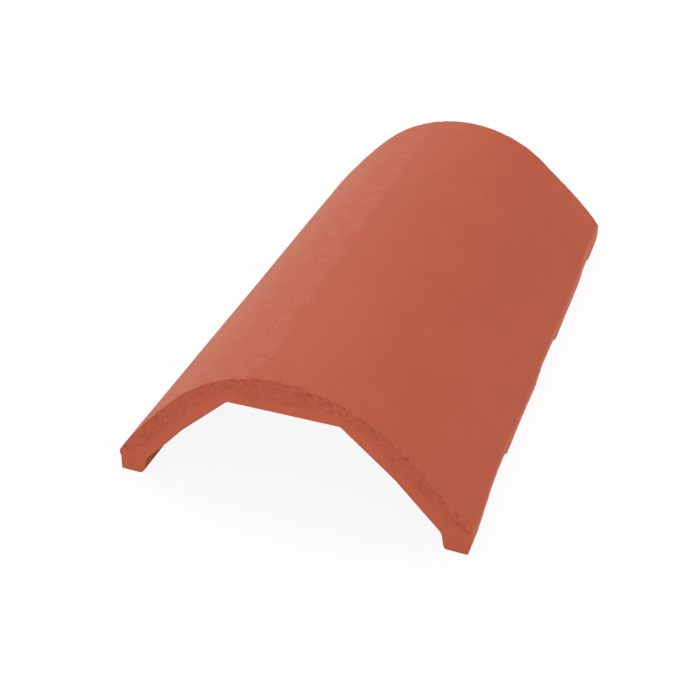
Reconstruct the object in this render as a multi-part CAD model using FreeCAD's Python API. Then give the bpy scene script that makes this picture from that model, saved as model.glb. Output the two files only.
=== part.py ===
"""Arched clay roof tile: one fired piece of constant section, cut square at both ends.

Frame: X across the tile, Y along it, Z up. The origin is on the ground under the middle
of the tile, so the two feet stand on Z = 0. All sizes are in millimetres.

The section is an arch. Outside, a crown arc runs into two long, almost flat flanks.
Inside, the soffit is faceted: a flat strip under the crown, then two facets down each
flank. Each flank ends in a foot with a flat bearing face that the tile stands on.
"""

import FreeCAD
import Part
import math
import os

# Overall sizes
LENGTH = 340.0  # along the roof
WIDTH = 210.0  # over the two arrises, the widest lines of the section
HEIGHT = 87.0  # from the bearing faces to the top of the crown

# Outer surface
SHOULDER_SLOPE = 42.5  # degrees from level, where the crown arc meets the flank
FLANK_TURN = 12.0  # degrees that the flank steepens by, from the shoulder to the arris
ARRIS_HEIGHT = 13.5  # of the widest line above the bearing face

# Walls
CROWN_WALL = 20.0  # clay over the flat strip of the soffit, on the centre line
FLANK_WALL = 17.0  # clay between the flank and the facets inside it
FACET_BEND = 6.0  # degrees that the lower facet is steeper than the upper one

# Feet
FOOT_DEPTH = 11.0  # of the foot's inner face, from the soffit down to the bearing face
BEARING_WIDTH = 14.0  # of the flat face under each foot, before its corners are eased
ARRIS_OVERHANG = 2.5  # that the arris stands out past the bearing face

# Eased corners, as radii
SOFFIT_EASE = 3.0  # where the flat strip meets the upper facets
HEEL_EASE = 3.0  # inner corner of the bearing face
TOE_EASE = 1.0  # outer corner of the bearing face
THROAT_EASE = 5.0  # where the foot's inner face meets the lower facet

NODE = "arched_tile"


def outward(slope):
    """Unit normal, as (x, z), of a surface that falls away to +X at this slope."""
    angle = math.radians(slope)
    return math.sin(angle), math.cos(angle)


def arch_radii(half_width, rise):
    """Radii of the crown arc and the flank arc that join smoothly at the shoulder.

    The two arcs together have to cover the half width and the rise, which gives two
    linear equations in the two radii.
    """
    shoulder_x, shoulder_z = outward(SHOULDER_SLOPE)
    arris_x, arris_z = outward(SHOULDER_SLOPE + FLANK_TURN)
    crown_run, crown_drop = shoulder_x, 1.0 - shoulder_z
    flank_run, flank_drop = arris_x - shoulder_x, shoulder_z - arris_z
    scale = crown_run * flank_drop - flank_run * crown_drop
    crown_radius = (half_width * flank_drop - flank_run * rise) / scale
    flank_radius = (crown_run * rise - half_width * crown_drop) / scale
    return crown_radius, flank_radius


def point(x, z):
    """A point of the section, on the tile's near end."""
    return FreeCAD.Vector(x, -LENGTH / 2, z)


def mirrored(x_z):
    """The same point of the section on the other flank."""
    return -x_z[0], x_z[1]


def line(start, end):
    """A straight edge of the section between two (x, z) points."""
    return Part.makeLine(point(*start), point(*end))


def arc(start, middle, end):
    """A round edge of the section through three (x, z) points."""
    return Part.Arc(point(*start), point(*middle), point(*end)).toShape()


def outer_surface():
    """The outer surface of the +X half, as a function of its slope.

    The function gives the (x, z) point at any slope from the crown, 0, to the arris.
    """
    half_width = WIDTH / 2
    crown_radius, flank_radius = arch_radii(half_width, HEIGHT - ARRIS_HEIGHT)
    end_x, end_z = outward(SHOULDER_SLOPE + FLANK_TURN)

    def at(slope):
        """The point where the outer surface has this slope."""
        across, up = outward(slope)
        if slope <= SHOULDER_SLOPE:
            return crown_radius * across, HEIGHT - crown_radius * (1.0 - up)
        return (
            half_width - flank_radius * (end_x - across),
            ARRIS_HEIGHT + flank_radius * (up - end_z),
        )

    return at


def facet(outer, slope):
    """A soffit facet as (point on it, slope): the outer surface's tangent, a wall inside."""
    x, z = outer(slope)
    across, up = outward(slope)
    return (x - FLANK_WALL * across, z - FLANK_WALL * up), slope


def facet_at_height(facet_line, height):
    """Where a facet is at this height."""
    (x, z), slope = facet_line
    return x + (z - height) / math.tan(math.radians(slope)), height


def facets_meet(upper, lower):
    """Where the upper and the lower facet cross."""
    (upper_x, upper_z), upper_slope = upper
    (lower_x, lower_z), lower_slope = lower
    fall_upper = math.tan(math.radians(upper_slope))
    fall_lower = math.tan(math.radians(lower_slope))
    x = (lower_z - upper_z + fall_lower * lower_x - fall_upper * upper_x) / (fall_lower - fall_upper)
    return x, upper_z - fall_upper * (x - upper_x)


def half_section():
    """Corners of the +X half of the section, by name, as (x, z) points."""
    outer = outer_surface()
    upper = facet(outer, SHOULDER_SLOPE)
    lower = facet(outer, SHOULDER_SLOPE + FACET_BEND)
    toe_x = WIDTH / 2 - ARRIS_OVERHANG
    return {
        "crown": outer(0.0),
        "mid_crown": outer(SHOULDER_SLOPE / 2),
        "shoulder": outer(SHOULDER_SLOPE),
        "mid_flank": outer(SHOULDER_SLOPE + FLANK_TURN / 2),
        "arris": outer(SHOULDER_SLOPE + FLANK_TURN),
        "toe": (toe_x, 0.0),
        "heel": (toe_x - BEARING_WIDTH, 0.0),
        "throat": facet_at_height(lower, FOOT_DEPTH),
        "bend": facets_meet(upper, lower),
        "strip_edge": facet_at_height(upper, HEIGHT - CROWN_WALL),
    }


def section_face(half):
    """The closed section, on the tile's near end."""
    other = {name: mirrored(x_z) for name, x_z in half.items()}
    edges = [
        arc(other["shoulder"], half["crown"], half["shoulder"]),
        arc(half["shoulder"], half["mid_flank"], half["arris"]),
    ]
    down = ("arris", "toe", "heel", "throat", "bend", "strip_edge")
    edges += [line(half[a], half[b]) for a, b in zip(down, down[1:])]
    edges.append(line(half["strip_edge"], other["strip_edge"]))
    edges += [line(other[b], other[a]) for a, b in reversed(list(zip(down, down[1:])))]
    edges.append(arc(other["arris"], other["mid_flank"], other["shoulder"]))
    return Part.Face(Part.Wire(edges))


def long_edge(solid, x_z):
    """The solid's edge that runs the tile's length through this point of the section."""
    near = point(*x_z)
    far = near + FreeCAD.Vector(0, LENGTH, 0)
    for edge in solid.Edges:
        ends = [vertex.Point for vertex in edge.Vertexes]
        if len(ends) == 2 and any(
            ends[i].isEqual(near, 1e-4) and ends[1 - i].isEqual(far, 1e-4) for i in (0, 1)
        ):
            return edge
    raise ValueError("no long edge at x %.2f, z %.2f" % x_z)


def arched_tile():
    """The whole tile: the section run out to its length, with its long corners eased."""
    half = half_section()
    solid = section_face(half).extrude(FreeCAD.Vector(0, LENGTH, 0))
    eased = {
        "strip_edge": SOFFIT_EASE,
        "throat": THROAT_EASE,
        "heel": HEEL_EASE,
        "toe": TOE_EASE,
    }
    for corner, radius in eased.items():
        for x_z in (half[corner], mirrored(half[corner])):
            solid = solid.makeFillet(radius, [long_edge(solid, x_z)])
    return solid


def main():
    os.makedirs("parts", exist_ok=True)
    tile = arched_tile()
    tile.exportStep("parts/" + NODE + ".step")
    print("%s: valid %s, volume %.0f mm3" % (NODE, tile.isValid(), tile.Volume))


main()
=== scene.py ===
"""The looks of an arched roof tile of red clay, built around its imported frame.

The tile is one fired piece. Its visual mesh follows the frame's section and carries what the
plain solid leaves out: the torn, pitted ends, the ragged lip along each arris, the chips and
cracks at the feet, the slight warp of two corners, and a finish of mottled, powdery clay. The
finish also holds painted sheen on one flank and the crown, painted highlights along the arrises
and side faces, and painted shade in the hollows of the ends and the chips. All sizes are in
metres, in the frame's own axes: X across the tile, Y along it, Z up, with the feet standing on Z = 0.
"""

import logging
import math
from dataclasses import dataclass, field
from enum import Enum
from typing import Dict, List, Optional, Sequence, Tuple, Union

import bpy
import numpy as np
from mathutils import Matrix, Vector, noise

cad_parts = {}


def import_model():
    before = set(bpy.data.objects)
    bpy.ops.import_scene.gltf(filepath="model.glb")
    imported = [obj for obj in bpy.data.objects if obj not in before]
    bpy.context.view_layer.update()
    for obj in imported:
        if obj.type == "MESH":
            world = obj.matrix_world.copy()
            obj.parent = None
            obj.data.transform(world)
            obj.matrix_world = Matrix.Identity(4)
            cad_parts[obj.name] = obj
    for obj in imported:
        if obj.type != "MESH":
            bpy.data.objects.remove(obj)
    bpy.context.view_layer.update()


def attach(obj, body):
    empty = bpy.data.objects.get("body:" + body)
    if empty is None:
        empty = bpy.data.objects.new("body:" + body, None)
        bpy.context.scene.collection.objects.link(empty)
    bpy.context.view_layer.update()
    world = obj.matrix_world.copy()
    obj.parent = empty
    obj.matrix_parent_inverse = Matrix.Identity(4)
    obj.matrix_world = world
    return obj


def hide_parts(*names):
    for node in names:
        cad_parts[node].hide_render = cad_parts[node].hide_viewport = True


MM = 0.001
LOG = logging.getLogger("roof_tile")
LINE_SAMPLES = 4000
WHITE = (1.0, 1.0, 1.0, 1.0)
Point = Tuple[float, float]
Triple = Tuple[float, float, float]
Colour = Tuple[float, float, float, float]
Socket = bpy.types.NodeSocket
Value = Union[float, Colour, Socket]


class TileEnd(Enum):
    """The two cut ends of the tile, by the sign of Y."""

    NEAR = -1
    FAR = 1


class Surface(Enum):
    """The kinds of surface that the tile's relief treats in different ways."""

    BACK = 0
    SIDE = 1
    BEARING = 2
    SOFFIT = 3
    END = 4


def smooth_step(low: float, high: float, value: np.ndarray) -> np.ndarray:
    """Rises smoothly from 0, where the value is low, to 1, where it is high."""
    t = np.clip((value - low) / (high - low), 0.0, 1.0)
    return t * t * (3.0 - 2.0 * t)


def fading(gap: np.ndarray, reach: float) -> np.ndarray:
    """1 where there is no gap, fading to 0 beyond the reach."""
    return np.exp(-((gap / reach) ** 2))


@dataclass(frozen=True)
class Grain:
    """Smooth random relief.

    It is set by the width of a lump, the same every way or along X, Y and Z, by the number of
    finer layers, and by a shift that sets its pattern apart from the others.
    """

    size: Union[float, Triple]
    octaves: int
    shift: float
    fall: float = 0.8
    step: float = 2.1

    def at(self, places: np.ndarray) -> np.ndarray:
        """The relief at each of the (n, 3) places, about -1 to 1."""
        scaled = (places / np.asarray(self.size, float) + self.shift).tolist()
        return np.array([noise.fractal(Vector(p), self.fall, self.step, self.octaves) for p in scaled])

    def share(self, places: np.ndarray, contrast: float = 1.0) -> np.ndarray:
        """The relief at each of the (n, 3) places as a share from 0 to 1."""
        return 0.5 + 0.5 * np.clip(contrast * self.at(places), -1, 1)


def eased(corners: Sequence[Point], radii: Dict[int, float], steps: int) -> np.ndarray:
    """A line through corners, with some of them rounded.

    Args:
        corners: the line's (x, z) corners.
        radii: the radius to round a corner to, by its place in the line.
        steps: how many points make each rounding.

    Returns:
        The line's points, as an (n, 2) array.
    """
    points: List[np.ndarray] = []
    for i, corner in enumerate(np.asarray(corners, float)):
        radius = radii.get(i, 0.0)
        if not radius:
            points.append(corner)
            continue
        back = np.asarray(corners[i - 1]) - corner
        ahead = np.asarray(corners[i + 1]) - corner
        back /= np.linalg.norm(back)
        ahead /= np.linalg.norm(ahead)
        half = math.acos(float(np.clip(back @ ahead, -1, 1))) / 2
        reach = radius / math.tan(half)
        middle = corner + (back + ahead) / np.linalg.norm(back + ahead) * radius / math.sin(half)
        start, end = corner + back * reach - middle, corner + ahead * reach - middle
        for t in np.linspace(0.0, 1.0, steps):
            ray = start * (1 - t) + end * t
            points.append(middle + ray / np.linalg.norm(ray) * radius)
    return np.array(points)


def spread(line: np.ndarray, count: int, crowd: Sequence[Tuple[Point, float, float]]) -> np.ndarray:
    """Points along a line, closer together near the places that need more of them.

    Args:
        line: the line's points, as an (n, 2) array.
        count: the number of steps between the first point and the last.
        crowd: (place, how much closer, over what distance) for each place to crowd around.

    Returns:
        An array of count + 1 points.
    """
    steps = np.linalg.norm(np.diff(line, axis=0), axis=1)
    run = np.concatenate([[0.0], np.cumsum(steps)])
    fine = np.linspace(0.0, run[-1], LINE_SAMPLES)
    at = np.stack([np.interp(fine, run, line[:, k]) for k in (0, 1)], axis=1)
    density = np.ones(len(fine))
    for place, strength, reach in crowd:
        gap = np.linalg.norm(at - np.asarray(place), axis=1)
        density += strength * fading(gap, reach)
    weight = np.concatenate([[0.0], np.cumsum((density[1:] + density[:-1]) / 2)])
    chosen = np.interp(np.linspace(0.0, weight[-1], count + 1), weight, fine)
    return np.stack([np.interp(chosen, run, line[:, k]) for k in (0, 1)], axis=1)


@dataclass(frozen=True)
class ArchSection:
    """The tile's constant section: an arch with a faceted soffit and two flat feet."""

    width: float = 210 * MM
    height: float = 87 * MM
    shoulder_slope: float = 42.5
    flank_turn: float = 12.0
    arris_height: float = 13.5 * MM
    crown_wall: float = 20 * MM
    flank_wall: float = 17 * MM
    facet_bend: float = 6.0
    foot_depth: float = 11 * MM
    bearing_width: float = 14 * MM
    arris_overhang: float = 2.5 * MM
    soffit_ease: float = 3 * MM
    heel_ease: float = 3 * MM
    toe_ease: float = 1 * MM
    throat_ease: float = 5 * MM
    ease_steps: int = 7
    back_samples: int = 160

    def back(self, slope: float) -> Point:
        """The point of the +X half where the outer surface has this slope.

        Args:
            slope: the fall from level, in degrees.

        Returns:
            The point, as (x, z).
        """
        across, up = math.sin(math.radians(slope)), math.cos(math.radians(slope))
        turned = math.radians(self.shoulder_slope)
        end = math.radians(self.shoulder_slope + self.flank_turn)
        crown_run, crown_drop = math.sin(turned), 1 - math.cos(turned)
        flank_run, flank_drop = math.sin(end) - math.sin(turned), math.cos(turned) - math.cos(end)
        half, rise = self.width / 2, self.height - self.arris_height
        scale = crown_run * flank_drop - flank_run * crown_drop
        if slope <= self.shoulder_slope:
            radius = (half * flank_drop - flank_run * rise) / scale
            return radius * across, self.height - radius * (1 - up)
        radius = (crown_run * rise - half * crown_drop) / scale
        return half - radius * (math.sin(end) - across), self.arris_height + radius * (up - math.cos(end))

    def facet(self, slope: float) -> Tuple[Point, float]:
        """The soffit facet that lies one wall inside the outer surface's tangent.

        Args:
            slope: the outer surface's slope there, in degrees.

        Returns:
            A point on the facet, and the tangent of its slope.
        """
        x, z = self.back(slope)
        angle = math.radians(slope)
        return (x - self.flank_wall * math.sin(angle), z - self.flank_wall * math.cos(angle)), math.tan(angle)

    def corners(self) -> Dict[str, Point]:
        """The named corners of the +X half.

        Returns:
            Each corner's (x, z), before it is eased, by name.
        """
        (ux, uz), upper_fall = self.facet(self.shoulder_slope)
        (lx, lz), lower_fall = self.facet(self.shoulder_slope + self.facet_bend)
        bend_x = (lz - uz + lower_fall * lx - upper_fall * ux) / (lower_fall - upper_fall)
        toe_x = self.width / 2 - self.arris_overhang
        strip_z = self.height - self.crown_wall
        return {
            "arris": (self.width / 2, self.arris_height),
            "toe": (toe_x, 0.0),
            "heel": (toe_x - self.bearing_width, 0.0),
            "throat": (lx + (lz - self.foot_depth) / lower_fall, self.foot_depth),
            "bend": (bend_x, uz - upper_fall * (bend_x - ux)),
            "strip_edge": (ux + (uz - strip_z) / upper_fall, strip_z),
            "soffit": (0.0, strip_z),
        }

    def lines(self) -> Dict[Surface, np.ndarray]:
        """The +X half as four lines, from the crown round the foot to the soffit.

        Returns:
            Each line's points, as an (n, 2) array, by the surface that it draws.
        """
        c = self.corners()
        slopes = np.linspace(0.0, self.shoulder_slope + self.flank_turn, self.back_samples)
        back = np.array([self.back(s) for s in slopes])
        names = ("arris", "toe", "heel", "throat", "bend", "strip_edge", "soffit")
        radii = (self.toe_ease, self.heel_ease, self.throat_ease, self.throat_ease, self.soffit_ease)
        foot = eased([c[name] for name in names], dict(enumerate(radii, 1)), self.ease_steps)
        toe = 1 + self.ease_steps // 2
        heel = toe + self.ease_steps
        return {
            Surface.BACK: back,
            Surface.SIDE: foot[: toe + 1],
            Surface.BEARING: foot[toe : heel + 1],
            Surface.SOFFIT: foot[heel:],
        }


@dataclass(frozen=True)
class RaggedLip:
    """The lip of clay along one foot's side, broken back in stretches with sharp steps between.

    The wear is a list of (place along the tile, depth) pairs, in metres.
    """

    wear: Tuple[Point, ...]
    fray: float = 0.22 * MM
    grain: Grain = Grain((1.0, 2.6 * MM, 1.0), 3, 9.7)
    sharp: float = 0.4 * MM
    brief: float = 4 * MM
    reach: float = 4 * MM

    def worn(self, along: np.ndarray) -> np.ndarray:
        """How far the side is set back.

        Args:
            along: the places along the tile.

        Returns:
            The depth at each place, in metres.
        """
        places, depths = zip(*self.wear)
        line = np.stack([np.zeros_like(along), along, np.zeros_like(along)], axis=1)
        return np.interp(along, places, depths) + self.grain.share(line) * self.fray

    def steps(self) -> List[float]:
        """Finds where the lip breaks back sharply.

        Returns:
            Three places along the tile for each break: its start, middle and end.
        """
        found: List[float] = []
        for (start, high), (end, low) in zip(self.wear, self.wear[1:]):
            if abs(high - low) > self.sharp and end - start < self.brief:
                found += [start, (start + end) / 2, end]
        return found


@dataclass(frozen=True)
class Chip:
    """A small hollow or crack in one end's face, or on the arris beside it."""

    end: TileEnd
    x: float
    z: float
    long: float
    wide: float
    depth: float
    tilt: float = 0.0
    behind: float = 1.5
    blunt: float = 1.5

    def bite(self, places: np.ndarray, end_plane: float) -> np.ndarray:
        """How deep the chip goes, fading away behind the end's face.

        Args:
            places: the (n, 3) places.
            end_plane: the Y of the end's face.

        Returns:
            The depth at each place, in metres.
        """
        turn = math.radians(self.tilt)
        dx, dz = places[:, 0] - self.x, places[:, 2] - self.z
        along = (dx * math.cos(turn) + dz * math.sin(turn)) / self.long
        across = (dz * math.cos(turn) - dx * math.sin(turn)) / self.wide
        behind = np.abs(places[:, 1] - end_plane) / (self.behind * self.depth)
        return self.depth * np.exp(-((along**2 + across**2) ** self.blunt) - behind**2)


@dataclass(frozen=True)
class WornArris:
    """The arris between the back and a cut end, rounded off and crumbled by handling."""

    least: float = 0.3 * MM
    most: float = 1.6 * MM
    crumbs: Grain = Grain(5.0 * MM, 4, 5.5)
    contrast: float = 1.5
    crown_wear: float = 1.7 * MM
    crown_least: float = 0.4
    crown_place: float = -12 * MM
    crown_reach: float = 26 * MM
    far_share: float = 0.25
    ends_apart: float = 170 * MM

    def near_crown(self, x: np.ndarray) -> np.ndarray:
        """1 over the stretch of crown that is worn most, fading to 0 down the flanks."""
        return fading(x - self.crown_place, self.crown_reach)

    def radius(self, places: np.ndarray) -> np.ndarray:
        """The radius that the arris is worn to.

        Args:
            places: the (n, 3) places.

        Returns:
            The radius beside each place, in metres.
        """
        far = places[:, 1] > 0
        flat = places * [1.0, 0.0, 1.0] + np.sign(places[:, 1:2]) * [0.0, self.ends_apart, 0.0]
        wear = self.crumbs.share(flat, self.contrast)
        worn = self.least + (self.most - self.least) * wear
        crown = self.near_crown(places[:, 0]) * (self.crown_least + (1 - self.crown_least) * wear)
        return np.where(far, self.far_share * worn, worn + self.crown_wear * crown)

    @staticmethod
    def tucked(radius: np.ndarray) -> np.ndarray:
        """How far in from the sharp arris the middle of the rounding lies, along each face."""
        return radius * (1 - math.sqrt(0.5))

    @staticmethod
    def set_back(gap: np.ndarray, radius: np.ndarray) -> np.ndarray:
        """How far a face falls back at this distance from the arris.

        Args:
            gap: the distance from the sharp arris, along the face.
            radius: the radius that the arris is worn to there.

        Returns:
            The depth below the unworn face, no more than at the middle of the rounding.
        """
        inside = np.clip(radius - gap, 0.0, None)
        depth = radius - np.sqrt(np.maximum(radius**2 - inside**2, 0.0))
        return np.minimum(depth, WornArris.tucked(radius))


@dataclass(frozen=True)
class FootWarp:
    """How one foot strays from the plain section towards one end, as it set in the kiln.

    The reaches say how far round the toe, the heel and the arris their moves are felt.
    """

    sign: int
    end: TileEnd
    reach: float
    lift: float = 0.0
    arris_in: float = 0.0
    toe_out: float = 0.0
    heel_out: float = 0.0
    arris_up: float = 0.0
    side_out: float = 0.0
    reaches: Triple = (6 * MM, 5 * MM, 9 * MM)
    lift_low: float = 6 * MM
    lift_high: float = 36 * MM
    flank_run: float = 40 * MM
    flank_rise: float = 38 * MM
    flank_curl: float = 1.2
    side_depth: float = 4 * MM

    def shift(self, places: np.ndarray, outer: np.ndarray, section: ArchSection, half: float) -> np.ndarray:
        """Where each place moves to.

        Args:
            places: the (n, 3) places.
            outer: 1 on the back and the side, falling to 0 at the soffit.
            section: the plain section.
            half: half the tile's length.

        Returns:
            An (n, 3) array of moves.
        """
        corner = section.corners()
        x, z = np.abs(places[:, 0]), places[:, 2]
        near_end = 1.0 - smooth_step(0.0, self.reach, half - self.end.value * places[:, 1])
        share = near_end * (np.sign(places[:, 0]) == self.sign)
        toe, heel, arris = (
            fading(np.hypot(x - corner[name][0], z - corner[name][1]), reach)
            for name, reach in zip(("toe", "heel", "arris"), self.reaches)
        )
        arris_x, arris_z = corner["arris"]
        up_side = np.clip(z / arris_z, 0.0, 1.0)
        up_flank = np.clip((x - arris_x + self.flank_run) / self.flank_rise, 0.0, 1.0) ** self.flank_curl
        bulge = outer * np.sin(math.pi * up_side) * (x > arris_x - self.side_depth)
        outward = self.toe_out * toe + self.heel_out * heel - self.arris_in * arris
        outward = outward + self.side_out * bulge
        raised = self.lift * (1.0 - smooth_step(self.lift_low, self.lift_high, z))
        raised = raised + self.arris_up * outer * up_side * up_flank
        move = np.zeros_like(places)
        move[:, 0] = self.sign * share * outward
        move[:, 2] = share * raised
        return move


@dataclass
class PlainTile:
    """The plain tile's vertices, with where each lies on the section and beside the ends."""

    places: np.ndarray
    normals: np.ndarray
    kinds: np.ndarray
    depths: np.ndarray
    half: float
    arris: Point
    on_plane: float = 0.001 * MM

    def __post_init__(self) -> None:
        """Works out each vertex's surface and its distance from the arris and the end."""
        on = [self.kinds == surface.value for surface in Surface]
        self.back, self.side, self.bearing, self.soffit, self.inner_end = on
        self.end_gap = self.half - np.abs(self.places[:, 1])
        self.on_rim = self.end_gap < self.on_plane
        self.at_end = self.inner_end | self.on_rim
        arris_x, arris_z = self.arris
        self.from_arris = np.hypot(np.abs(self.places[:, 0]) - arris_x, self.places[:, 2] - arris_z)


@dataclass(frozen=True)
class ClaySkin:
    """The unevenness of the tile's long surfaces, and how they crumble beside the ends."""

    wave: Grain = Grain((45 * MM, 70 * MM, 45 * MM), 2, 1.3)
    wave_depth: float = 0.22 * MM
    ripple: Grain = Grain((9 * MM, 14 * MM, 9 * MM), 3, 7.7)
    ripple_depth: float = 0.10 * MM
    rough: Grain = Grain(3.2 * MM, 4, 2.9)
    rough_depth: float = 0.40 * MM
    groove_depth: float = 0.25 * MM
    groove_gap: float = 3.6 * MM
    groove_width: float = 1.2 * MM
    crumbs: Grain = Grain(1.6 * MM, 3, 4.4)
    crumb_depth: float = 0.5 * MM
    crumb_reach: float = 1.4 * MM
    rim_ease: float = 0.2 * MM

    def sunk(self, plain: PlainTile) -> np.ndarray:
        """How far the long surfaces lie below the plain ones.

        Args:
            plain: the plain tile's vertices.

        Returns:
            The depth at each vertex, in metres.
        """
        wave, ripple = self.wave.share(plain.places), self.ripple.share(plain.places)
        sink = wave * self.wave_depth + ripple * self.ripple_depth
        sink += (plain.side | plain.bearing) * self.rough.share(plain.places) * self.rough_depth
        groove = fading(plain.from_arris - self.groove_gap, self.groove_width)
        sink += plain.back * groove * self.groove_depth
        crumbs = np.clip(self.crumbs.at(plain.places), 0, 1) * self.crumb_depth
        beside_end = fading(plain.end_gap, self.crumb_reach) * ~plain.inner_end
        sink += plain.back * beside_end * crumbs
        sink += (plain.side | plain.soffit) * beside_end * self.rim_ease
        return sink


@dataclass(frozen=True)
class TornEnd:
    """How the cut that ended the tile dragged and tore the clay, in a sweep about a low hub."""

    hub_drop: float = 8 * MM
    hub_least: float = 1 * MM
    sweep: float = 90 * MM
    ends_apart: float = 3.0
    pits: Grain = Grain((3.4 * MM, 1.0, 2.5 * MM), 4, 3.3)
    clods: Grain = Grain((2.0 * MM, 1.0, 1.6 * MM), 3, 1.9)
    broad: Grain = Grain((16 * MM, 1.0, 7 * MM), 2, 6.1)
    fine: Grain = Grain(1.1 * MM, 3, 8.8)
    torn_from: float = 0.28
    torn_full: float = 0.55
    wander: float = 0.14
    cluster: float = 0.25
    pit_from: float = 0.10
    pit_full: float = 0.80
    foot_share: float = 0.4
    foot_low: float = 8 * MM
    foot_high: float = 24 * MM
    least: float = 0.08 * MM
    fine_depth: float = 0.08 * MM
    torn_depth: float = 0.10 * MM
    clod_depth: float = 0.28 * MM
    pit_depth: float = 0.45 * MM
    # How much painted shade the clods and the pits get.
    clod_shade: float = 0.35
    pit_shade: float = 0.55

    def torn(self, plain: PlainTile) -> Tuple[np.ndarray, np.ndarray]:
        """Works out where the cut tore the clay.

        Args:
            plain: the plain tile's vertices.

        Returns:
            How far each vertex is torn in, in metres, and how deep in the hollows it lies, from 0 to 1, which
            sets the painted shade there.
        """
        depth, hollow_shade = np.zeros(len(plain.places)), np.zeros(len(plain.places))
        spots = plain.places[plain.at_end]
        x, y, z = spots.T
        up = z + self.hub_drop
        turn = np.arctan2(x, np.maximum(up, self.hub_least))
        swept = np.stack([turn * self.sweep, y * self.ends_apart, np.hypot(x, up)], axis=1)
        pits, broad = self.pits.at(swept), self.broad.at(swept)
        clods, fine = self.clods.share(swept), self.fine.share(spots)
        in_wall = plain.depths[plain.at_end] + self.wander * broad
        above_foot = smooth_step(self.foot_low, self.foot_high, z)
        outer = smooth_step(self.torn_from, self.torn_full, in_wall)
        outer = outer * (self.foot_share + (1 - self.foot_share) * above_foot)
        hollow = smooth_step(self.pit_from, self.pit_full, pits + self.cluster * broad)
        rough = self.torn_depth * fine + self.clod_depth * clods + self.pit_depth * hollow
        depth[plain.at_end] = self.least + self.fine_depth * fine + outer * rough
        # Deeper clods and pits get more painted shade.
        hollow_shade[plain.at_end] = outer * (self.clod_shade * clods + self.pit_shade * hollow)
        return depth, hollow_shade


@dataclass(frozen=True)
class ClayBands:
    """Where the dark clay of a cut shows, where painted shade lies in the hollows of the ends, and where a
    painted highlight runs along the arrises, the side faces and the rim of the ends.

    The cut's sizes are shares of the wall from the soffit, and its reach over the arris is in
    radii of the worn arris.
    """

    cut_from: float = 0.30
    cut_full: float = 0.52
    crown_deeper: float = 0.13
    over_full: float = 0.6
    over_none: float = 1.9
    ragged: Grain = Grain(2.0 * MM, 3, 6.6)
    ragged_share: float = 0.5
    foot_share: float = 0.3
    foot_low: float = 9 * MM
    foot_high: float = 26 * MM
    # The painted highlight along the rim of the ends, towards +X.
    rim_highlight_share: float = 0.6
    rim_highlight_width: float = 0.8 * MM
    rim_highlight_from: float = 8 * MM
    rim_highlight_full: float = 34 * MM
    lip_width: float = 1.6 * MM

    def masks(
        self, plain: PlainTile, arris: WornArris, radius: np.ndarray, hollow_shade: np.ndarray
    ) -> Dict[str, np.ndarray]:
        """Works out the masks that the finish reads.

        Args:
            plain: the plain tile's vertices.
            arris: how the arris of the ends is worn.
            radius: the radius that it is worn to beside each vertex.
            hollow_shade: how deep in the hollows of the torn clay each vertex lies, which sets the painted
                shade.

        Returns:
            Each mask, from 0 to 1 at every vertex, by its name.
        """
        x, _, z = plain.places.T
        worn = radius * (1.0 + self.ragged_share * np.clip(self.ragged.at(plain.places), -1, 1))
        over_arris = plain.back * (1.0 - smooth_step(self.over_full, self.over_none, plain.end_gap / worn))
        in_wall = plain.depths + self.crown_deeper * arris.near_crown(x)
        cut = np.where(plain.inner_end, smooth_step(self.cut_from, self.cut_full, in_wall), over_arris)
        above_foot = smooth_step(self.foot_low, self.foot_high, z)
        # Painted highlight: a pale rim along the back's edge at the ends towards +X, and a pale strip over
        # the side faces and along the arris.
        rim_highlight = smooth_step(self.rim_highlight_from, self.rim_highlight_full, x) * fading(plain.end_gap, self.rim_highlight_width)
        lip = np.where(plain.side, 1.0, plain.back * fading(plain.from_arris, self.lip_width))
        return {
            # Painted shade in the hollows of the torn ends and in the chips.
            "torn": np.clip(hollow_shade, 0, 1) * plain.at_end,
            "cut_face": cut * (self.foot_share + (1 - self.foot_share) * above_foot),
            "edge_highlight": np.maximum(lip, self.rim_highlight_share * plain.back * rim_highlight),
            "outside": plain.back * (1.0 - over_arris),
        }


@dataclass(frozen=True)
class Outline:
    """The section's outline: its (x, z) points, their outward normals and their Surface values."""

    points: np.ndarray
    normals: np.ndarray
    kinds: np.ndarray

    def thinned(self, step: int) -> "Outline":
        """The outline with one point kept out of so many."""
        return Outline(self.points[::step], self.normals[::step], self.kinds[::step])


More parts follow.
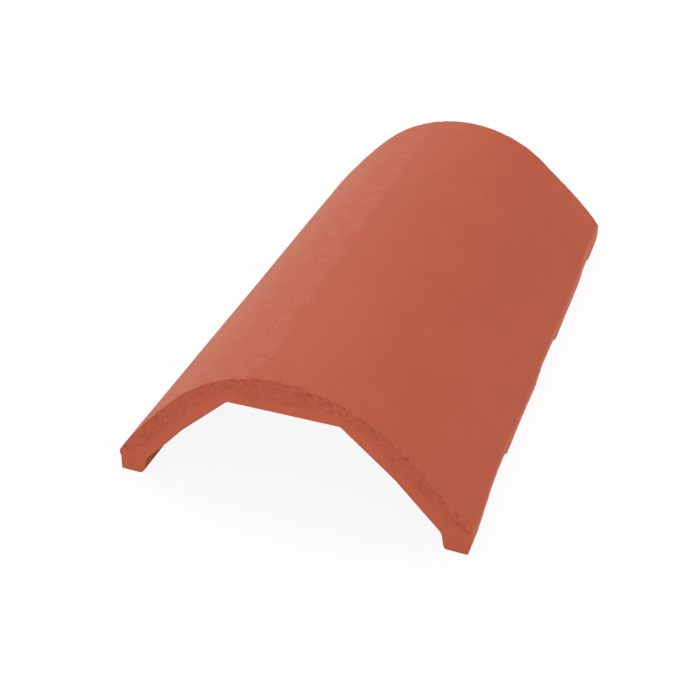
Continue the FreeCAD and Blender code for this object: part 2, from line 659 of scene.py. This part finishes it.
@dataclass
class MeshData:
    """The tile's vertices as they grow, with what the relief needs to know of each."""

    parts: List[Tuple[np.ndarray, ...]] = field(default_factory=list)
    faces: List[Tuple[int, ...]] = field(default_factory=list)
    count: int = 0

    def add(
        self, places: np.ndarray, normals: np.ndarray, kinds: np.ndarray, depths: np.ndarray
    ) -> np.ndarray:
        """Adds vertices.

        Args:
            places: their (n, 3) places.
            normals: the side surface's outward normals there.
            kinds: the Surface value of each.
            depths: how far each lies from the soffit to the back, as a share of an end's wall.

        Returns:
            The new vertices' numbers.
        """
        numbers = np.arange(self.count, self.count + len(places))
        self.parts.append((places, normals, kinds, depths))
        self.count += len(places)
        return numbers

    def turn(self, outline: Outline, y: float) -> np.ndarray:
        """Adds one turn of the outline.

        Args:
            outline: the outline.
            y: the turn's place along the tile.

        Returns:
            The turn's vertex numbers.
        """
        (x, z), (nx, nz) = outline.points.T, outline.normals.T
        still = np.zeros_like(x)
        places, normals = np.stack([x, still + y, z], axis=1), np.stack([nx, still, nz], axis=1)
        return self.add(places, normals, outline.kinds, still)

    def bridge(self, lower: np.ndarray, upper: np.ndarray) -> None:
        """Joins two turns with as many vertices by quads.

        Args:
            lower: one turn's vertex numbers.
            upper: the other turn's vertex numbers.
        """
        for i in range(len(lower)):
            j = (i + 1) % len(lower)
            self.faces.append((lower[i], lower[j], upper[j], upper[i]))

    def step_down(self, fine: np.ndarray, coarse: np.ndarray, flip: bool) -> None:
        """Joins a turn of many vertices to one of few by triangles.

        Args:
            fine: the vertex numbers of the turn with many.
            coarse: the vertex numbers of the turn with few.
            flip: whether the triangles are wound the other way round.
        """
        k = len(fine) // len(coarse)
        middle = k // 2
        for i, c in enumerate(coarse):
            d = coarse[(i + 1) % len(coarse)]
            f = [fine[(k * i + j) % len(fine)] for j in range(k + 1)]
            fans = [(f[j], f[j + 1], c if j < middle else d) for j in range(k)]
            fans.append((f[middle], d, c))
            self.faces.extend(tuple(reversed(t)) if flip else t for t in fans)

    def plain(self, half: float, arris: Point) -> PlainTile:
        """All the vertices, for the relief, with half the tile's length and the (x, z) of its arris."""
        return PlainTile(*(np.concatenate(arrays) for arrays in zip(*self.parts)), half, arris)


@dataclass
class ArchedTile:
    """The whole tile: its section run out to its length, then torn, chipped and worn."""

    section: ArchSection = field(default_factory=ArchSection)
    length: float = 340 * MM
    back_steps: int = 44
    side_steps: int = 8
    bearing_steps: int = 9
    finer: int = 4
    ring_gap: float = 1.9 * MM
    end_rings: Tuple[float, ...] = (0.4 * MM, 0.8 * MM, 1.3 * MM, 2.0 * MM, 3.0 * MM, 4.4 * MM)
    wall: float = 18 * MM
    # The chip depth at which its painted shade is full.
    full_shade_depth: float = 1.2 * MM
    lip_over: float = 3 * MM
    lip_under: float = 7 * MM
    least_hold: float = 0.001
    arris: WornArris = field(default_factory=WornArris)
    skin: ClaySkin = field(default_factory=ClaySkin)
    tearing: TornEnd = field(default_factory=TornEnd)
    bands: ClayBands = field(default_factory=ClayBands)
    lips: Dict[int, RaggedLip] = field(
        default_factory=lambda: {
            1: RaggedLip(
                (
                    (-0.1520, 0.0),
                    (-0.1270, 1.5 * MM),
                    (-0.1245, 1.9 * MM),
                    (-0.1020, 2.3 * MM),
                    (-0.0838, 2.3 * MM),
                    (-0.0828, 1.2 * MM),
                    (-0.0450, 1.1 * MM),
                    (-0.0136, 0.7 * MM),
                    (-0.0126, 1.6 * MM),
                    (0.0100, 1.6 * MM),
                    (0.0395, 1.3 * MM),
                    (0.0425, 0.0),
                    (0.1115, 0.1 * MM),
                    (0.1130, 0.8 * MM),
                    (0.1480, 1.3 * MM),
                    (0.1500, 0.2 * MM),
                )
            ),
            -1: RaggedLip(
                (
                    (-0.1000, 0.0),
                    (-0.0970, 1.0 * MM),
                    (-0.0700, 0.7 * MM),
                    (-0.0680, 0.0),
                    (0.0100, 0.2 * MM),
                    (0.0120, 1.3 * MM),
                    (0.0350, 1.0 * MM),
                    (0.0370, 0.2 * MM),
                    (0.1200, 0.1 * MM),
                    (0.1230, 1.1 * MM),
                    (0.1700, 0.8 * MM),
                )
            ),
        }
    )
    warps: Tuple[FootWarp, ...] = (
        FootWarp(
            -1, TileEnd.NEAR, 0.200, lift=1.4 * MM, heel_out=1.3 * MM, arris_in=0.7 * MM, toe_out=1.7 * MM
        ),
        FootWarp(1, TileEnd.FAR, 0.170, arris_up=6.0 * MM, side_out=1.2 * MM),
    )
    chips: Tuple[Chip, ...] = (
        Chip(TileEnd.NEAR, -0.1010, 0.0175, 0.0030, 0.0007, 0.0009, 10),
        Chip(TileEnd.NEAR, -0.0980, 0.0160, 0.0007, 0.0016, 0.0007, 20),
        Chip(TileEnd.NEAR, -0.0970, 0.0110, 0.0040, 0.0006, 0.0005, -3),
        Chip(TileEnd.NEAR, -0.0872, 0.0290, 0.0022, 0.0009, 0.0008, 40),
        Chip(TileEnd.NEAR, -0.0769, 0.0450, 0.0026, 0.0009, 0.0008, 45),
        Chip(TileEnd.NEAR, -0.0472, 0.0690, 0.0030, 0.0008, 0.0008, 25),
        Chip(TileEnd.NEAR, -0.0414, 0.0765, 0.0024, 0.0010, 0.0007, 20),
        Chip(TileEnd.NEAR, -0.0249, 0.0845, 0.0030, 0.0012, 0.0010, 10),
        Chip(TileEnd.NEAR, 0.0150, 0.0830, 0.0034, 0.0010, 0.0010, -5),
        Chip(TileEnd.NEAR, 0.0214, 0.0790, 0.0022, 0.0009, 0.0007, -15),
        Chip(TileEnd.NEAR, 0.0263, 0.0800, 0.0020, 0.0012, 0.0009, -15),
        Chip(TileEnd.NEAR, 0.0493, 0.0700, 0.0030, 0.0010, 0.0009, -30),
        Chip(TileEnd.NEAR, 0.0514, 0.0655, 0.0024, 0.0009, 0.0007, -30),
        Chip(TileEnd.NEAR, 0.0573, 0.0550, 0.0022, 0.0008, 0.0006, -35),
        Chip(TileEnd.NEAR, 0.0685, 0.0555, 0.0026, 0.0010, 0.0009, -40),
        Chip(TileEnd.NEAR, 0.0768, 0.0358, 0.0022, 0.0008, 0.0006, -45),
        Chip(TileEnd.NEAR, 0.0955, 0.0200, 0.0040, 0.0008, 0.0008, -30),
        Chip(TileEnd.NEAR, 0.1000, 0.0165, 0.0034, 0.0007, 0.0009, -15),
        Chip(TileEnd.FAR, -0.0300, 0.0800, 0.0034, 0.0012, 0.0010, -15),
        Chip(TileEnd.FAR, -0.0560, 0.0660, 0.0030, 0.0012, 0.0010, 35),
        Chip(TileEnd.FAR, -0.0840, 0.0400, 0.0030, 0.0012, 0.0009, 50),
    )

    def half_loop(self) -> Tuple[np.ndarray, np.ndarray]:
        """The +X half of the section's outline, closely sampled.

        Returns:
            The outline's (x, z) points, and the Surface value of each.
        """
        corner = self.section.corners()
        plan = {
            Surface.BACK: (self.back_steps, ((corner["arris"], 3.0, 6 * MM),)),
            Surface.SIDE: (self.side_steps, ((corner["toe"], 1.5, 2 * MM),)),
            Surface.BEARING: (
                self.bearing_steps,
                ((corner["toe"], 0.6, 2 * MM), (corner["heel"], 1.0, 3 * MM)),
            ),
            Surface.SOFFIT: (
                self.back_steps + self.side_steps,
                (
                    (corner["heel"], 3.0, 5 * MM),
                    (corner["throat"], 2.0, 6 * MM),
                    (corner["bend"], 1.0, 4 * MM),
                    (corner["strip_edge"], 2.5, 4 * MM),
                ),
            ),
        }
        points, kinds = [], []
        for surface, line in self.section.lines().items():
            steps, crowd = plan[surface]
            piece = spread(line, steps * self.finer, crowd)
            points.append(piece[:-1])
            kinds.append(np.full(len(piece) - 1, surface.value))
        points.append(piece[-1:])
        kinds.append(np.array([Surface.SOFFIT.value]))
        return np.concatenate(points), np.concatenate(kinds)

    def loop(self) -> Outline:
        """Closes the outline, round from the crown by the +X foot and the -X foot.

        Returns:
            The whole outline.
        """
        half, kinds = self.half_loop()
        other = half[1:-1][::-1] * [-1, 1]
        points = np.concatenate([half, other])
        kinds = np.concatenate([kinds, kinds[1:-1][::-1]])
        ahead = np.roll(points, -1, axis=0) - points
        ahead /= np.linalg.norm(ahead, axis=1)[:, None]
        tangent = ahead + np.roll(ahead, 1, axis=0)
        tangent /= np.linalg.norm(tangent, axis=1)[:, None]
        return Outline(points, np.stack([-tangent[:, 1], tangent[:, 0]], axis=1), kinds)

    def cap(self, data: MeshData, rim: np.ndarray, outline: Outline, end: TileEnd) -> None:
        """Closes one end with a grid that runs across the wall, from the soffit to the back.

        Args:
            data: the tile as it grows.
            rim: the vertex numbers of the turn at this end.
            outline: the outline.
            end: which end it is.
        """
        half = (self.back_steps + self.side_steps) * self.finer
        across = self.bearing_steps * self.finer
        n = len(rim)
        outer = [i % n for i in range(-half, half + 1)]
        inner = [(n // 2 - i) % n for i in range(-half, half + 1)]
        grid = np.zeros((len(outer), across + 1), int)
        grid[:, across], grid[:, 0] = rim[outer], rim[inner]
        shares = np.arange(1, across) / across
        for i, step in ((0, 1), (-1, -1)):
            grid[i, 1:across] = [rim[(inner[i] + step * v) % n] for v in range(1, across)]
        for i in range(1, len(outer) - 1):
            o, s = outer[i], inner[i]
            spots = outline.points[s] * (1 - shares[:, None]) + outline.points[o] * shares[:, None]
            places = np.insert(spots, 1, end.value * self.length / 2, axis=1)
            outward = np.tile(np.insert(outline.normals[o], 1, 0.0), (len(shares), 1))
            grid[i, 1:across] = data.add(places, outward, np.full(len(shares), Surface.END.value), shares)
        for i in range(len(outer) - 1):
            for v in range(across):
                quad = (grid[i, v], grid[i + 1, v], grid[i + 1, v + 1], grid[i, v + 1])
                data.faces.append(quad if end is TileEnd.NEAR else tuple(reversed(quad)))

    def grow(self) -> MeshData:
        """Builds the plain tile, with no relief yet.

        Returns:
            Its vertices and faces.
        """
        data = MeshData()
        outline = self.loop()
        thin = outline.thinned(self.finer)
        half = self.length / 2
        near = [-half] + [-half + gap for gap in self.end_rings]
        far = [half - gap for gap in reversed(self.end_rings)] + [half]
        count = int((far[0] - near[-1]) / self.ring_gap)
        middle = np.linspace(near[-1], far[0], count + 1)[1:-1]
        steps = [place for lip in self.lips.values() for place in lip.steps() if abs(place) < far[0]]
        middle = np.unique(np.concatenate([middle, steps]).round(5))
        near_turns = [data.turn(outline, y) for y in near]
        middle_turns = [data.turn(thin, y) for y in middle]
        far_turns = [data.turn(outline, y) for y in far]
        for turns in (near_turns, middle_turns, far_turns):
            for lower, upper in zip(turns, turns[1:]):
                data.bridge(upper, lower)
        data.step_down(near_turns[-1], middle_turns[0], True)
        data.step_down(far_turns[0], middle_turns[-1], False)
        self.cap(data, near_turns[0], outline, TileEnd.NEAR)
        self.cap(data, far_turns[-1], outline, TileEnd.FAR)
        return data

    def weather(self, plain: PlainTile) -> Tuple[np.ndarray, Dict[str, np.ndarray]]:
        """Works the relief into the plain tile.

        Args:
            plain: the plain tile's vertices.

        Returns:
            The new places, and the masks that the finish reads, by name.
        """
        radius = self.arris.radius(plain.places)
        tucked = self.arris.tucked(radius)
        below_back = np.where(plain.back, 0.0, self.wall)
        below_back = np.where(plain.inner_end, (1.0 - plain.depths) * self.wall, below_back)
        tear, hollow_shade = self.tearing.torn(plain)
        tear += plain.at_end * self.arris.set_back(below_back, radius)
        sink = self.skin.sunk(plain) + plain.back * self.arris.set_back(plain.end_gap, radius)
        open_back = plain.back * ~plain.on_rim
        for chip in self.chips:
            bite = chip.bite(plain.places, chip.end.value * plain.half)
            tear += plain.at_end * bite
            sink += open_back * bite
            # Chips and cracks get painted shade by their depth.
            hollow_shade = np.maximum(hollow_shade, plain.at_end * bite / self.full_shade_depth)
        sink = np.where(plain.inner_end, np.clip(tucked - below_back, 0, None), sink)
        tuck = open_back * np.clip(tucked - plain.end_gap, 0, None)

        moved = plain.places - plain.normals * sink[:, None]
        moved[:, 1] -= np.sign(plain.places[:, 1]) * (tear * plain.at_end + tuck)
        self.break_lips(plain, moved)
        outer = np.where(plain.back | plain.side, 1.0, np.where(plain.inner_end, plain.depths, 0.0))
        for warp in self.warps:
            moved += warp.shift(plain.places, outer, self.section, plain.half)
        return moved, self.bands.masks(plain, self.arris, radius, hollow_shade)

    def break_lips(self, plain: PlainTile, moved: np.ndarray) -> None:
        """Sets the sides back where their lips are broken, with the edges beside them.

        Args:
            plain: the plain tile's vertices.
            moved: their new places, which this changes.
        """
        x, y, z = plain.places.T
        toe_x = self.section.corners()["toe"][0]
        low = z < plain.arris[1] + self.lip_over
        beside_toe = low * smooth_step(toe_x - self.lip_under, toe_x, np.abs(x))
        for sign, lip in self.lips.items():
            beside_arris = fading(plain.from_arris, lip.reach)
            hold = np.where(plain.back, beside_arris, np.where(plain.side, 1.0, beside_toe))
            this = (np.sign(x) == sign) & (hold > self.least_hold) & ~plain.soffit
            moved[this, 0] -= sign * lip.worn(y[this]) * hold[this]

    def build(self) -> bpy.types.Object:
        """Makes the tile's mesh object, with its masks as named attributes.

        Returns:
            The tile.
        """
        data = self.grow()
        moved, masks = self.weather(data.plain(self.length / 2, self.section.corners()["arris"]))
        mesh = bpy.data.meshes.new("arched_tile_clay")
        mesh.from_pydata(moved.tolist(), [], [tuple(int(v) for v in f) for f in data.faces])
        mesh.validate()
        mesh.update()
        for name, values in masks.items():
            layer = mesh.attributes.new(name, "FLOAT", "POINT")
            layer.data.foreach_set("value", values.astype(np.float32))
        mesh.polygons.foreach_set("use_smooth", [True] * len(mesh.polygons))
        tile = bpy.data.objects.new("clay_tile", mesh)
        bpy.context.scene.collection.objects.link(tile)
        return tile


class NodeTree:
    """A short way to lay and link shader nodes."""

    def __init__(self, tree: bpy.types.NodeTree) -> None:
        """Starts on a cleared node tree."""
        self.tree = tree
        tree.nodes.clear()

    def add(
        self, kind: str, inputs: Optional[Dict[Union[int, str], Value]] = None, **settings: Union[str, bool]
    ) -> bpy.types.Node:
        """Adds a node.

        Args:
            kind: the node's type, without its ShaderNode prefix.
            inputs: values or output sockets for its inputs, by name or number.
            settings: values for its own properties.

        Returns:
            The new node.
        """
        node = self.tree.nodes.new("ShaderNode" + kind)
        for name, value in settings.items():
            setattr(node, name, value)
        for name, value in (inputs or {}).items():
            socket = node.inputs[name]
            if isinstance(value, bpy.types.NodeSocket):
                self.tree.links.new(value, socket)
            else:
                socket.default_value = value
        return node

    def math(self, operation: str, a: Value, b: Value) -> Socket:
        """The result of one sum, such as ADD or MULTIPLY, of two values or sockets."""
        return self.add("Math", {0: a, 1: b}, operation=operation).outputs[0]

    def blend(self, share: Value, a: Value, b: Value) -> Socket:
        """The colour that lies this share of the way from one to the other."""
        return self.add("MixRGB", {"Fac": share, "Color1": a, "Color2": b}).outputs[0]

    def ramp(self, share: Value, low: float, high: float, start: float = 0.0, end: float = 1.0) -> Socket:
        """A smooth step of a socket, from start where it is low to end where it is high."""
        node = self.add(
            "MapRange",
            {"Value": share, "From Min": low, "From Max": high, "To Min": start, "To Max": end},
            interpolation_type="SMOOTHSTEP",
        )
        return node.outputs[0]


class ClayNodes(NodeTree):
    """The shader nodes of the red clay."""

    def __init__(self, tree: bpy.types.NodeTree, clay: "RedClay") -> None:
        """Lays the nodes that the colour and the relief share.

        Args:
            tree: the material's node tree.
            clay: the finish to lay.
        """
        super().__init__(tree)
        self.clay = clay
        self.where = self.add("TexCoord").outputs["Object"]
        self.split = self.add("SeparateXYZ", {0: self.where}).outputs
        self.patch = self.lumps(clay.patch_size, detail=3.0, roughness=0.6)
        self.clumps = self.lumps(clay.clump_size, detail=4.0, roughness=0.65)
        self.cut = self.mask("cut_face")

    def lumps(self, size: float, detail: float, roughness: float) -> Socket:
        """Soft noise around 0.5, with lumps this wide and so many finer layers of this strength."""
        look = {"Vector": self.where, "Scale": 1.0 / size, "Detail": detail, "Roughness": roughness}
        return self.add("TexNoise", look).outputs[0]

    def mask(self, name: str) -> Socket:
        """One of the tile's masks, by its name."""
        return self.add("Attribute", attribute_name=name).outputs["Fac"]

    def colour(self) -> Socket:
        """Mixes the clay's colour.

        Returns:
            The colour.
        """
        clay = self.clay
        broad = self.lumps(clay.broad_size, detail=3.0, roughness=0.6)
        speck = self.lumps(clay.speck_size, detail=2.0, roughness=0.6)
        clods = self.ramp(self.clumps, low=0.36, high=0.64, start=0.05, end=0.80)
        layers = (
            (self.ramp(broad, low=0.35, high=0.65), clay.warm),
            (self.ramp(self.patch, low=0.50, high=0.75, end=clay.patch_share), clay.dull),
            # Pale powdery bloom on the -X flank, with painted sheen there and over the crown.
            (self.bloom_and_sheen(), clay.bloom_and_sheen),
            (self.math("MULTIPLY", self.cut, clods), clay.torn),
            # Painted shade in the hollows of the torn ends and in the chips.
            (self.ramp(self.mask("torn"), low=0.25, high=0.95, end=clay.shaded_pit_share), clay.shaded_pit),
            # Painted highlight along the arrises, the side faces and the rim of the ends.
            (self.math("MULTIPLY", self.mask("edge_highlight"), clay.edge_highlight_share), clay.edge),
            (self.ramp(speck, low=0.35, high=0.68, end=clay.speck_share), clay.dull),
            (self.nick(), clay.bloom_and_sheen),
        )
        colour = clay.body
        for share, over in layers:
            colour = self.blend(share, colour, over)
        return colour

    def relief(self) -> Socket:
        """Raises the clay's finest grain.

        Returns:
            The bumped normal.
        """
        clay = self.clay
        fine = self.lumps(clay.fine_size, detail=3.0, roughness=0.65)
        soft = self.lumps(clay.soft_size, detail=3.0, roughness=0.5)
        fine = self.math("MULTIPLY", fine, clay.fine_height)
        soft = self.math("MULTIPLY", soft, clay.soft_height)
        clods = self.math("MULTIPLY", self.math("MULTIPLY", self.cut, self.clumps), clay.clump_height)
        height = self.math("ADD", self.math("ADD", fine, soft), clods)
        look = {"Height": height, "Strength": clay.bump_strength, "Distance": clay.bump_depth}
        return self.add("Bump", look).outputs[0]

    def nick(self) -> Socket:
        """Marks the pale nick on the +X flank, near the far end.

        Returns:
            How much of it shows.
        """
        gaps = []
        for axis, middle, size in zip("XY", self.clay.nick, self.clay.nick_size):
            gap = self.math("DIVIDE", self.math("SUBTRACT", self.split[axis], middle), size)
            gaps.append(self.math("MULTIPLY", gap, gap))
        return self.ramp(self.math("ADD", *gaps), low=1.0, high=0.2, end=self.clay.nick_share)

    def bloom_and_sheen(self) -> Socket:
        """Spreads the powdery bloom and the painted sheen: a worn-edged sheet of bloom with painted sheen on
        the -X flank, painted sheen growing towards the -X silhouette, and painted sheen over the crown.

        Returns:
            How much of it shows.
        """
        clay, across = self.clay, self.split["X"]
        fray = self.math("SUBTRACT", self.lumps(clay.bloom_and_sheen_fray, detail=4.0, roughness=0.6), 0.5)
        edge = self.math("ADD", across, self.math("MULTIPLY", fray, clay.bloom_and_sheen_fray))
        patches = self.lumps(clay.bloom_and_sheen_patch, detail=3.0, roughness=0.6)
        # Patches that vary the bloom and the painted sheen.
        wear = self.ramp(patches, low=0.30, high=0.75, start=0.39, end=0.64)
        # A sheet of powdery bloom with painted sheen, frayed at its edge.
        sheet = self.math("MULTIPLY", self.ramp(edge, *clay.bloom_and_sheen_edge), wear)
        # Painted sheen, growing towards the -X silhouette.
        flank = self.math("MULTIPLY", self.ramp(across, *clay.flank_sheen_reach, end=clay.flank_sheen_share), wear)
        # Painted sheen over the crown.
        crown_sheen = self.ramp(across, *clay.crown_sheen_reach, end=clay.crown_sheen_share)
        cover = self.math("MAXIMUM", self.math("ADD", sheet, flank), crown_sheen)
        return self.math("MULTIPLY", self.mask("outside"), cover)


@dataclass(frozen=True)
class RedClay:
    """Unglazed red clay, fired dull, with a pale powdery bloom and painted sheen on one flank, painted sheen
    over the crown, painted highlights along the arrises and side faces, and painted shade in the hollows of
    its ends.
    """

    body: Colour = (0.470, 0.1030, 0.0545, 1.0)
    warm: Colour = (0.500, 0.1100, 0.0590, 1.0)
    dull: Colour = (0.430, 0.0930, 0.0490, 1.0)
    # The pale colour of the powdery bloom and of the painted sheen.
    bloom_and_sheen: Colour = (0.570, 0.1910, 0.1170, 1.0)
    torn: Colour = (0.385, 0.0820, 0.0445, 1.0)
    # The dark colour of the painted shade in hollows and chips.
    shaded_pit: Colour = (0.330, 0.0700, 0.0390, 1.0)
    # The pale colour of the painted highlight along the arrises and side faces.
    edge: Colour = (0.620, 0.1900, 0.1180, 1.0)
    roughness: float = 0.72
    roughness_spread: float = 0.05
    specular: float = 0.02
    sheen: float = 0.04
    sheen_roughness: float = 0.5
    broad_size: float = 55 * MM
    patch_size: float = 12 * MM
    speck_size: float = 1.2 * MM
    clump_size: float = 2.4 * MM
    fine_size: float = 0.9 * MM
    soft_size: float = 6 * MM
    patch_share: float = 0.35
    speck_share: float = 0.48
    # Strength of the painted shade in hollows.
    shaded_pit_share: float = 0.62
    # Strength of the painted highlight.
    edge_highlight_share: float = 0.85
    fine_height: float = 0.35
    soft_height: float = 0.65
    clump_height: float = 1.6
    bump_strength: float = 0.35
    bump_depth: float = 0.4 * MM
    nick: Point = (86.5 * MM, 160.6 * MM)
    nick_size: Point = (1.8 * MM, 0.45 * MM)
    nick_share: float = 0.8
    # The edge of the bloom's sheet, and the reaches of the painted sheen on the -X flank and over the crown.
    bloom_and_sheen_edge: Point = (-12 * MM, -24 * MM)
    bloom_and_sheen_fray: float = 30 * MM
    bloom_and_sheen_patch: float = 9 * MM
    crown_sheen_reach: Point = (50 * MM, -15 * MM)
    crown_sheen_share: float = 0.25
    flank_sheen_reach: Point = (-32 * MM, -72 * MM)
    flank_sheen_share: float = 0.50

    def material(self) -> bpy.types.Material:
        """Builds the clay's material.

        Returns:
            The material.
        """
        material = bpy.data.materials.new("red_clay")
        material.use_nodes = True
        t = ClayNodes(material.node_tree, self)
        dull, shiny = self.roughness + self.roughness_spread, self.roughness - self.roughness_spread
        shader = t.add(
            "BsdfPrincipled",
            {
                "Base Color": t.colour(),
                "Roughness": t.ramp(t.patch, low=0.3, high=0.7, start=shiny, end=dull),
                "Specular IOR Level": self.specular,
                "Sheen Weight": self.sheen,
                "Sheen Roughness": self.sheen_roughness,
                "Normal": t.relief(),
            },
        )
        t.add("OutputMaterial", {"Surface": shader.outputs[0]})
        return material


@dataclass(frozen=True)
class Studio:
    """A white sweep under soft, even light, and the camera that looks down on the tile."""

    floor_size: float = 12.0
    floor_colour: Colour = (0.92, 0.92, 0.92, 1.0)
    floor_glow: float = 0.91
    sky: float = 0.885
    key_power: float = 7.0
    key_size: float = 1.4
    key_place: Triple = (-0.6, 0.1, 1.8)
    fill_power: float = 5.5
    fill_size: float = 1.5
    fill_place: Triple = (0.35, -2.0, 0.45)
    camera_place: Triple = (0.20639, -0.60410, 0.44046)
    azimuth: float = 21.18
    elevation: float = 34.82
    roll: float = -1.16
    lens: float = 60.355
    sensor: float = 36.0
    clip_start: float = 10 * MM

    @staticmethod
    def seen_straight(t: NodeTree) -> Socket:
        """Tells a ray that is seen from one that only lights.

        Args:
            t: the nodes to add to.

        Returns:
            1 for a ray from the camera, a gloss or a clear piece, and 0 for light.
        """
        path = t.add("LightPath")
        seen = t.math("MAXIMUM", path.outputs["Is Camera Ray"], path.outputs["Is Glossy Ray"])
        return t.math("MAXIMUM", seen, path.outputs["Is Transmission Ray"])

    def light_sky(self) -> None:
        """Lights the scene from all round, and shows white behind it."""
        world = bpy.data.worlds.new("white_room")
        bpy.context.scene.world = world
        world.use_nodes = True
        t = NodeTree(world.node_tree)
        light = t.add("Background", {"Color": WHITE, "Strength": self.sky})
        shown = t.add("Background", {"Color": WHITE, "Strength": 1.0})
        mix = t.add("MixShader", {0: self.seen_straight(t), 1: light.outputs[0], 2: shown.outputs[0]})
        t.add("OutputWorld", {"Surface": mix.outputs[0]})

    def lay_floor(self) -> None:
        """Lays the floor: white to the eye, with the tile's own soft shadow on it."""
        s = self.floor_size / 2
        mesh = bpy.data.meshes.new("floor")
        mesh.from_pydata([(-s, -s, 0), (s, -s, 0), (s, s, 0), (-s, s, 0)], [], [(0, 1, 2, 3)])
        floor = bpy.data.objects.new("floor", mesh)
        bpy.context.scene.collection.objects.link(floor)
        material = bpy.data.materials.new("white_floor")
        material.use_nodes = True
        t = NodeTree(material.node_tree)
        paper = t.add("BsdfDiffuse", {"Color": self.floor_colour})
        glow = t.add("Emission", {"Color": WHITE, "Strength": 1.0})
        share = t.math("MULTIPLY", self.seen_straight(t), self.floor_glow)
        mix = t.add("MixShader", {0: share, 1: paper.outputs[0], 2: glow.outputs[0]})
        t.add("OutputMaterial", {"Surface": mix.outputs[0]})
        mesh.materials.append(material)

    @staticmethod
    def hang_lamp(name: str, place: Sequence[float], size: float, power: float) -> None:
        """Hangs one wide, weak lamp that faces the tile.

        Args:
            name: the lamp's name.
            place: where it hangs, in metres.
            size: its diameter, in metres.
            power: its power, in watts.
        """
        light = bpy.data.lights.new(name, "AREA")
        light.shape = "DISK"
        light.size = size
        light.energy = power
        lamp = bpy.data.objects.new(name, light)
        lamp.location = place
        lamp.rotation_euler = (-Vector(place)).to_track_quat("-Z", "Y").to_euler()
        bpy.context.scene.collection.objects.link(lamp)

    def place_camera(self) -> None:
        """Sets the camera from its place, its turn, its tilt and its roll."""
        az, el, roll = (math.radians(a) for a in (self.azimuth, self.elevation, self.roll))
        level = Vector((math.cos(az), math.sin(az), 0))
        ahead = Vector((-math.sin(az), math.cos(az), 0))
        up = Vector((0, 0, 1))
        forward = ahead * math.cos(el) - up * math.sin(el)
        rise = ahead * math.sin(el) + up * math.cos(el)
        right = level * math.cos(roll) + rise * math.sin(roll)
        top = rise * math.cos(roll) - level * math.sin(roll)
        turn = Matrix((right, top, -forward)).transposed().to_4x4()
        camera = bpy.data.objects.new("camera", bpy.data.cameras.new("camera"))
        camera.data.lens = self.lens
        camera.data.sensor_width = self.sensor
        camera.data.clip_start = self.clip_start
        camera.matrix_world = Matrix.Translation(self.camera_place) @ turn
        bpy.context.scene.collection.objects.link(camera)
        bpy.context.scene.camera = camera

    def set_up(self) -> None:
        """Builds the whole studio."""
        bpy.context.scene.view_settings.view_transform = "Standard"
        self.light_sky()
        self.lay_floor()
        self.hang_lamp("key", self.key_place, self.key_size, self.key_power)
        self.hang_lamp("fill", self.fill_place, self.fill_size, self.fill_power)
        self.place_camera()


def note_sizes() -> None:
    """Does nothing: it only defines a helper that turns corners into lists of plain numbers.
    """

    def plain(corners: object) -> List[List[float]]:
        """The corners as lists of plain numbers."""
        return [[float(v) for v in corner] for corner in corners]


def main() -> None:
    """Loads the frame, builds the tile, dresses it and sets up the studio."""
    logging.basicConfig(level=logging.INFO, format="%(name)s: %(message)s")
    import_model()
    tile = ArchedTile().build()
    tile.data.materials.append(RedClay().material())
    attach(tile, "root")
    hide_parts("arched_tile")
    LOG.info("%s: %d vertices, %d faces", tile.name, len(tile.data.vertices), len(tile.data.polygons))
    Studio().set_up()
    note_sizes()


if __name__ == "__main__":
    main()
